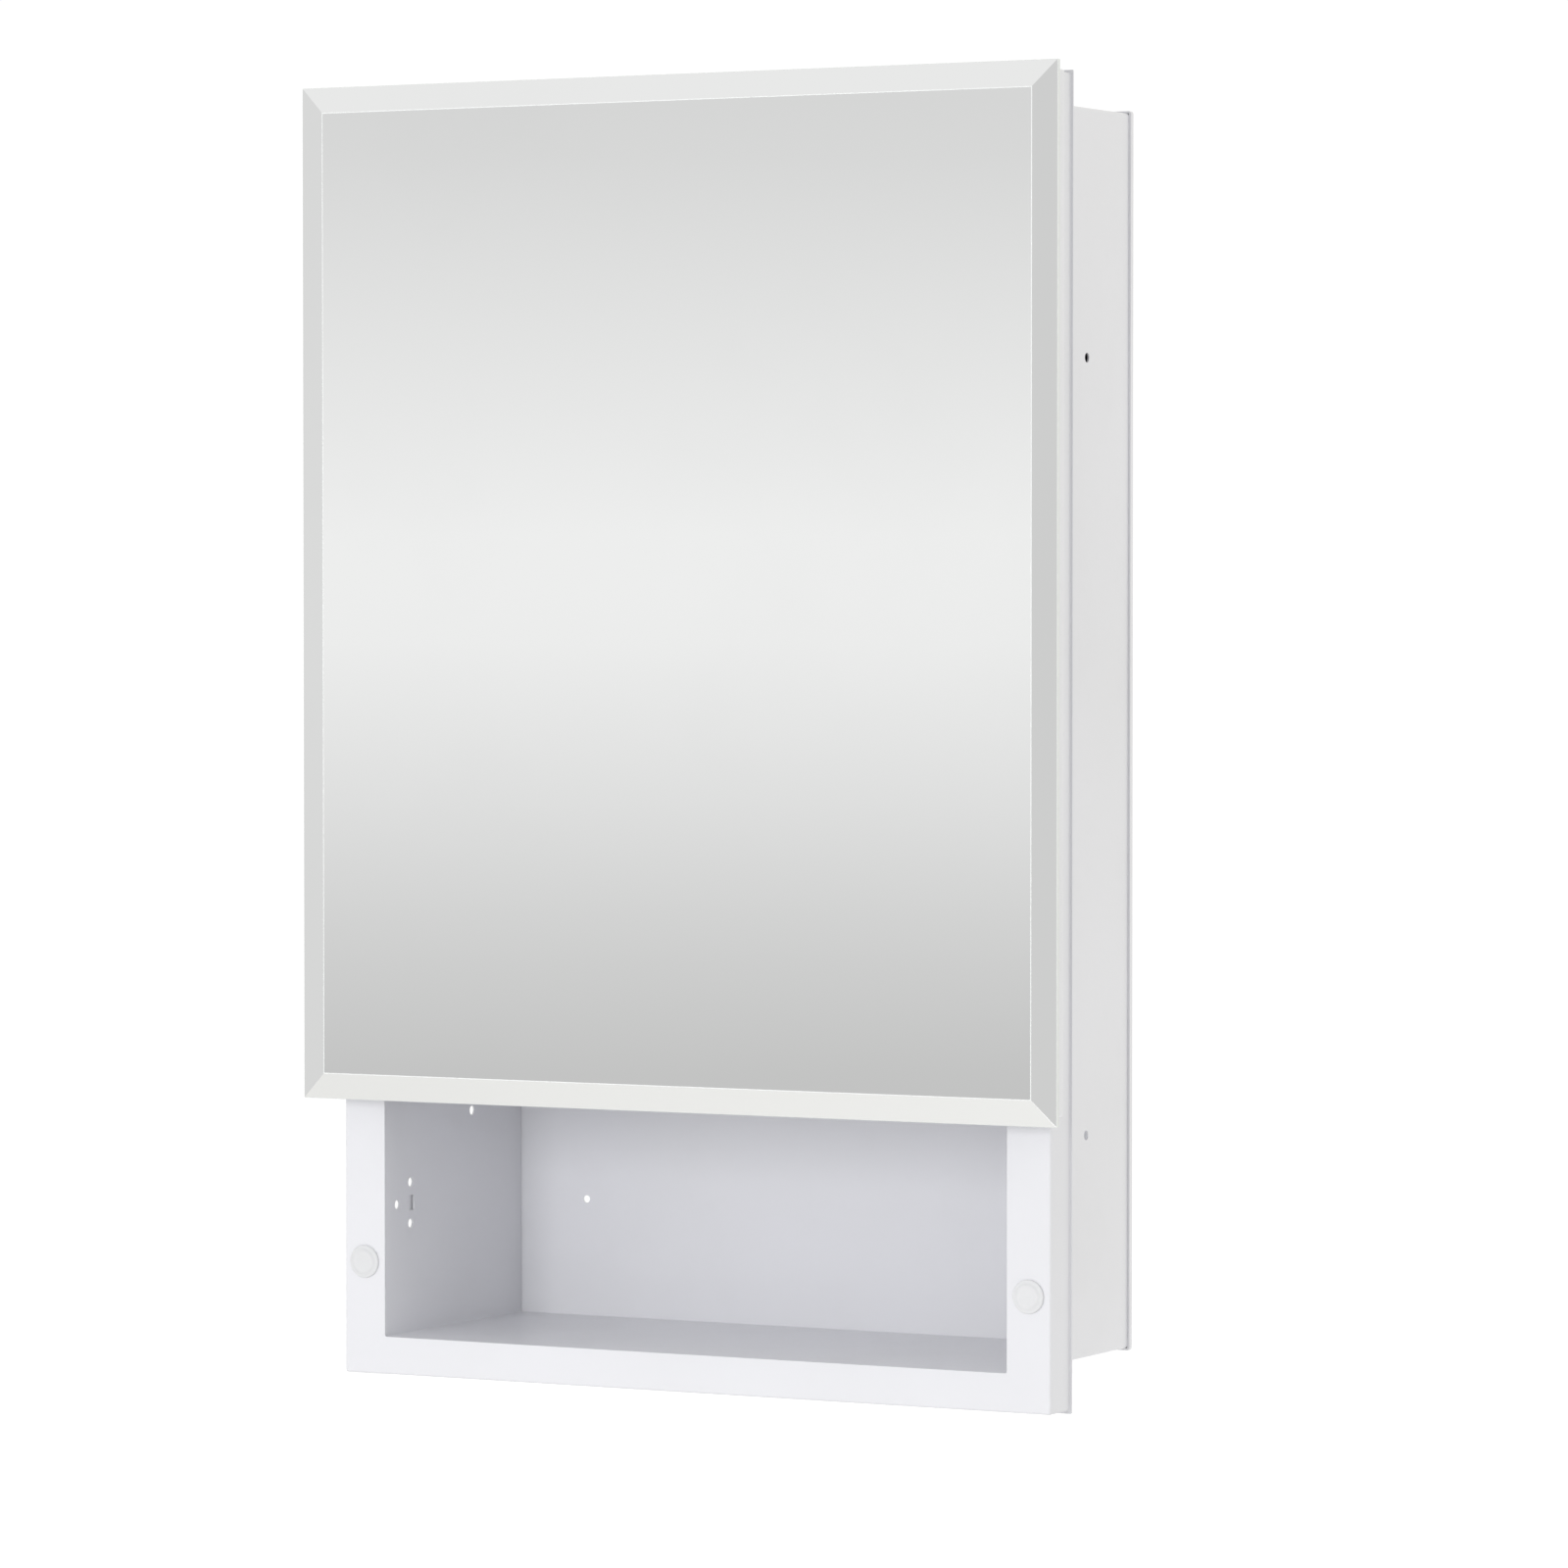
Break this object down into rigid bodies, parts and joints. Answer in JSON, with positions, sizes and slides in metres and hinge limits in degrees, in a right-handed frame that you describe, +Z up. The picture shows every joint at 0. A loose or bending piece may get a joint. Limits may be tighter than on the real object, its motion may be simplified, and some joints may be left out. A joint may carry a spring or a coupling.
{
  "type": "recessed medicine cabinet",
  "caption": "Recessed white steel medicine cabinet with a bevelled mirror door on a full-height hinge over an open niche, and glass shelves inside.",
  "frame": {"origin": "centre of the back panel's flat outer face", "axes": "+X to the right seen from the front, +Y from the front into the wall, +Z up"},
  "size_m": [0.4318, 0.1635, 0.6657],
  "materials": {
    "white_enamel": "baked white enamel, smooth satin gloss",
    "mirror": "silvered plate glass, polished flat bevel",
    "shelf_glass": "clear float glass, polished edges",
    "zinc": "bright zinc-plated steel",
    "white_plastic": "moulded white nylon, semi gloss",
    "clear_plastic": "clear moulded plastic, slightly milky",
    "ferrite": "black ceramic magnet, matt",
    "foam": "expanded foam board, matt",
    "tape": "double-sided foam tape, matt"
  },
  "bodies": {
    "cabinet": {"front_frame": "white_enamel", "cabinet_wrapper": "white_enamel", "back_panel": "white_enamel", "divider_shelf": "white_enamel", "hole_plug_left": "white_plastic", "divider_rivet_left_front": "zinc", "divider_rivet_left_back": "zinc", "hole_plug_right": "white_plastic", "divider_rivet_right_front": "zinc", "divider_rivet_right_back": "zinc", "shelf_clip_1_left": "clear_plastic", "shelf_rest_1_left": "white_enamel", "shelf_clip_2_left": "clear_plastic", "shelf_rest_2_left": "white_enamel", "shelf_clip_1_right": "clear_plastic", "shelf_rest_1_right": "white_enamel", "shelf_clip_2_right": "clear_plastic", "shelf_rest_2_right": "white_enamel", "catch_housing": "white_plastic", "catch_magnet": "ferrite", "catch_pole_inner": "zinc", "catch_pole_outer": "zinc", "catch_screw_lower": "zinc", "catch_screw_upper": "zinc", "hinge_leaf_frame": "zinc", "hinge_pin": "zinc", "frame_rivet_1": "zinc", "frame_rivet_2": "zinc", "frame_rivet_3": "zinc"},
    "mirror_door": {"hinge_leaf_door": "zinc", "door_rivet_1": "zinc", "door_rivet_2": "zinc", "door_rivet_3": "zinc", "door_pan": "white_enamel", "mirror_glass": "mirror", "foam_board": "foam", "mirror_tape_left": "tape", "mirror_tape_right": "tape", "mirror_tape_bottom": "tape", "mirror_tape_top": "tape", "strike_plate": "zinc", "strike_rivet_lower": "zinc", "strike_rivet_upper": "zinc", "door_bumper_lower": "clear_plastic", "door_bumper_upper": "clear_plastic"},
    "shelf_1": {"glass_shelf_1": "shelf_glass"},
    "shelf_2": {"glass_shelf_2": "shelf_glass"}
  },
  "joints": [
    {"name": "door_hinge", "type": "hinge", "parent": "cabinet", "child": "mirror_door", "pos_m": [-0.20572, -0.14248, 0.0704], "axis": [0, 0, -1], "range_deg": [0, 105]},
    {"name": "shelf_1_lift", "type": "slide", "parent": "cabinet", "child": "shelf_1", "axis": [0, 0, 1], "range_m": [0, 0.02]},
    {"name": "shelf_2_lift", "type": "slide", "parent": "cabinet", "child": "shelf_2", "axis": [0, 0, 1], "range_m": [0, 0.02]}
  ]
}
